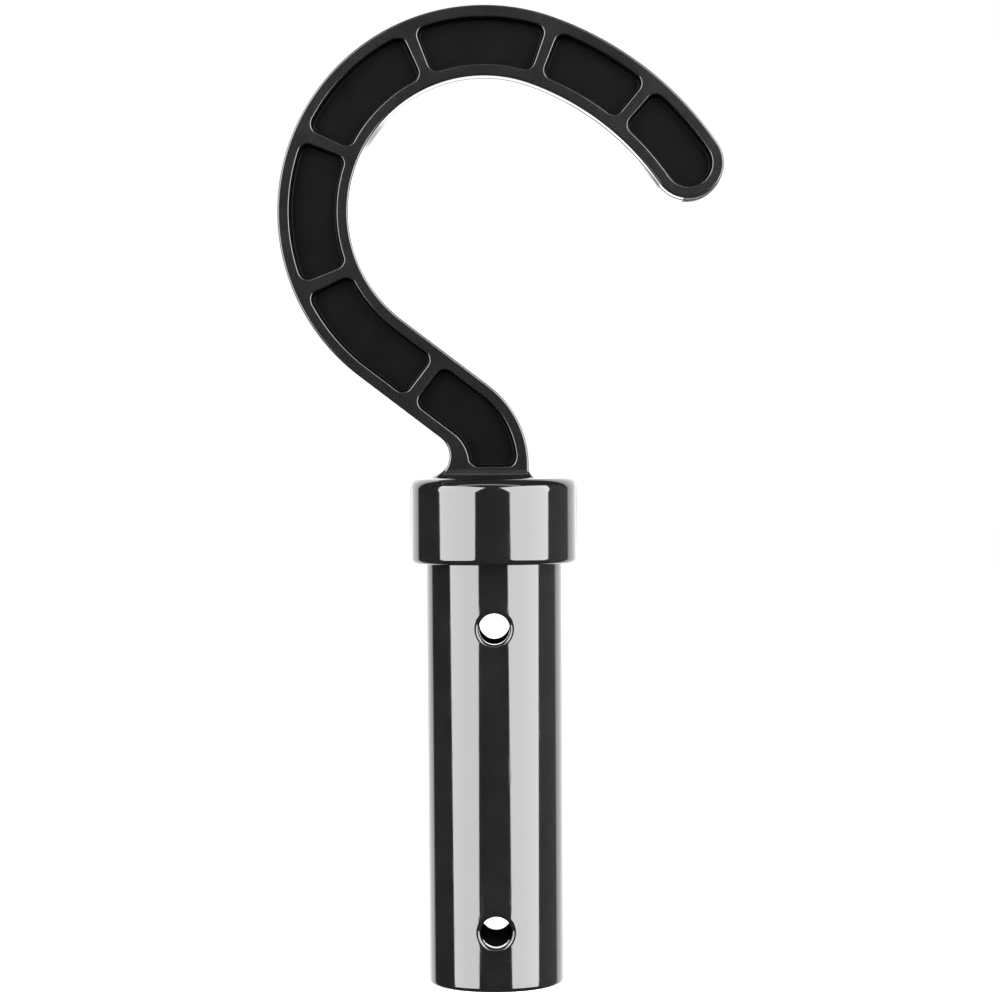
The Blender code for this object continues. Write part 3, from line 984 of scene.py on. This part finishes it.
# %% [markdown]
# ## The studio
#
# The hook stands before a white wall on a white floor.  The camera sees both as plain white.
# In the black plastic's reflections, the wall behind is bright, with a dim spot straight behind
# the hook, and the rest of the room is dark, a little lighter on the right.  Walls could be
# planes with lights on them, but a world that tells brightness by direction needs no objects.

# %% Floor
FLOOR_SIZE = 6                  # metres
bpy.ops.mesh.primitive_plane_add(size=FLOOR_SIZE, location=(0, 0, cad_low.z))
floor = bpy.context.object
floor.name = "floor"
pale = bpy.data.materials.new("pale_floor")
pale.use_nodes = True
pale_shader = pale.node_tree.nodes["Principled BSDF"]
pale_shader.inputs["Base Color"].default_value = (0.9, 0.9, 0.9, 1)
pale_shader.inputs["Roughness"].default_value = 0.9
pale_shader.inputs["Emission Color"].default_value = (1, 1, 1, 1)
pale_shader.inputs["Emission Strength"].default_value = 1.0
floor.data.materials.append(pale)
floor.visible_glossy = False
print("floor at", round(cad_low.z / MM, 1))

# %% World
BACK_AT = math.radians(178.3)   # direction of the white wall's middle, counted from the camera's
ROOM_GREY = 0.08
RIGHT_GREY = 0.36
WALL_WHITE = 2.4
SPOT_WIDE = 0.27                # half-sizes of the dim spots in front and straight behind
SPOT_HIGH = 0.03
SPOT_SHARE = 0.35
WALL_EDGE = (0.57, 0.62)        # cosines of the angle from the wall's middle to its soft edge
SPOT_EDGE = (0.7, 1.2)          # the spots' soft edge, in half-sizes
RIGHT_EDGE = (0.72, 0.85)       # how far to the right the lighter side fades in
world = bpy.data.worlds.new("studio")
bpy.context.scene.world = world
world.use_nodes = True
tree = world.node_tree
tree.nodes.clear()
direction = node(tree, "TexCoord").outputs["Generated"]
back = (math.sin(BACK_AT), -math.cos(BACK_AT), 0)
toward_back = node(tree, "VectorMath", {0: direction, 1: back}, operation="DOT_PRODUCT")
wall = node(tree, "MapRange", {"Value": toward_back.outputs["Value"], "From Min": WALL_EDGE[0],
                               "From Max": WALL_EDGE[1], "To Min": ROOM_GREY,
                               "To Max": WALL_WHITE})
in_spot = node(tree, "VectorMath", {0: direction, 1: (1 / SPOT_WIDE, 0, 1 / SPOT_HIGH)},
               operation="MULTIPLY")
from_spot = node(tree, "VectorMath", {0: in_spot.outputs[0]}, operation="LENGTH")
shade = node(tree, "MapRange", {"Value": from_spot.outputs["Value"], "From Min": SPOT_EDGE[0],
                                "From Max": SPOT_EDGE[1], "To Min": SPOT_SHARE, "To Max": 1.0})
shaded = node(tree, "Math", {0: wall.outputs[0], 1: shade.outputs[0]}, operation="MULTIPLY")
sideways = node(tree, "SeparateXYZ", {0: direction})
right_side = node(tree, "MapRange", {"Value": sideways.outputs["X"], "From Min": RIGHT_EDGE[0],
                                     "From Max": RIGHT_EDGE[1], "To Min": 0.0,
                                     "To Max": RIGHT_GREY})
brighter = node(tree, "Math", {0: shaded.outputs[0], 1: right_side.outputs[0]}, operation="MAXIMUM")
room = node(tree, "Background", {"Color": brighter.outputs[0]})
seen = node(tree, "Background", {"Color": (1, 1, 1, 1)})
path = node(tree, "LightPath")
mix = node(tree, "MixShader", {0: path.outputs["Is Camera Ray"], 1: room.outputs[0],
                               2: seen.outputs[0]})
node(tree, "OutputWorld", {"Surface": mix.outputs[0]})
print("world:", len(tree.nodes), "nodes")

# %% [markdown]
# Two panels in front, one on each side, lean over the hook and make the bright upright stripes
# on the collar and the spigot.  A narrow strip high in front draws the fine line along the
# collar's upper edge and along the pockets' lower lips.

# %% Panels


def panel(name, azimuth, away, up, width, height, lean, power):
    """A light panel at a distance and height, in metres, with its top leaning inwards."""
    data = bpy.data.lights.new(name, "AREA")
    data.shape = "RECTANGLE"
    data.size = width
    data.size_y = height
    data.energy = power
    lamp = bpy.data.objects.new(name, data)
    bpy.context.scene.collection.objects.link(lamp)
    a = math.radians(azimuth)
    lean = math.radians(lean)
    lamp.location = (away * math.sin(a), -away * math.cos(a), up)
    aim = Vector((-math.sin(a) * math.cos(lean), math.cos(a) * math.cos(lean), -math.sin(lean)))
    lamp.rotation_euler = aim.to_track_quat("-Z", "Y").to_euler()
    print(name, "at", [round(v, 2) for v in lamp.location])


panel("panel_left", -52.1, 0.93, 0.12, 1.01, 1.28, 30, 56)
panel("panel_right", 51.4, 0.93, 0.12, 1.1, 1.28, 30, 65)
panel("strip_above", -10, 0.39, 0.92, 1.3, 0.13, 67, 3.4)
bpy.context.scene.view_settings.view_transform = "Standard"

# %% [markdown]
# ## Hand the pieces over
#
# Each piece rides on the hook's one body and stands for the CAD length of the same shape.

# %% Hand the pieces over
pairs = ((arm, "hook_arm", "satin_black_plastic"), (collar, "collar", "gloss_black_plastic"),
         (spigot, "spigot", "gloss_black_plastic"))
for piece, node, slot in pairs:
    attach(piece, "root")
    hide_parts(node)
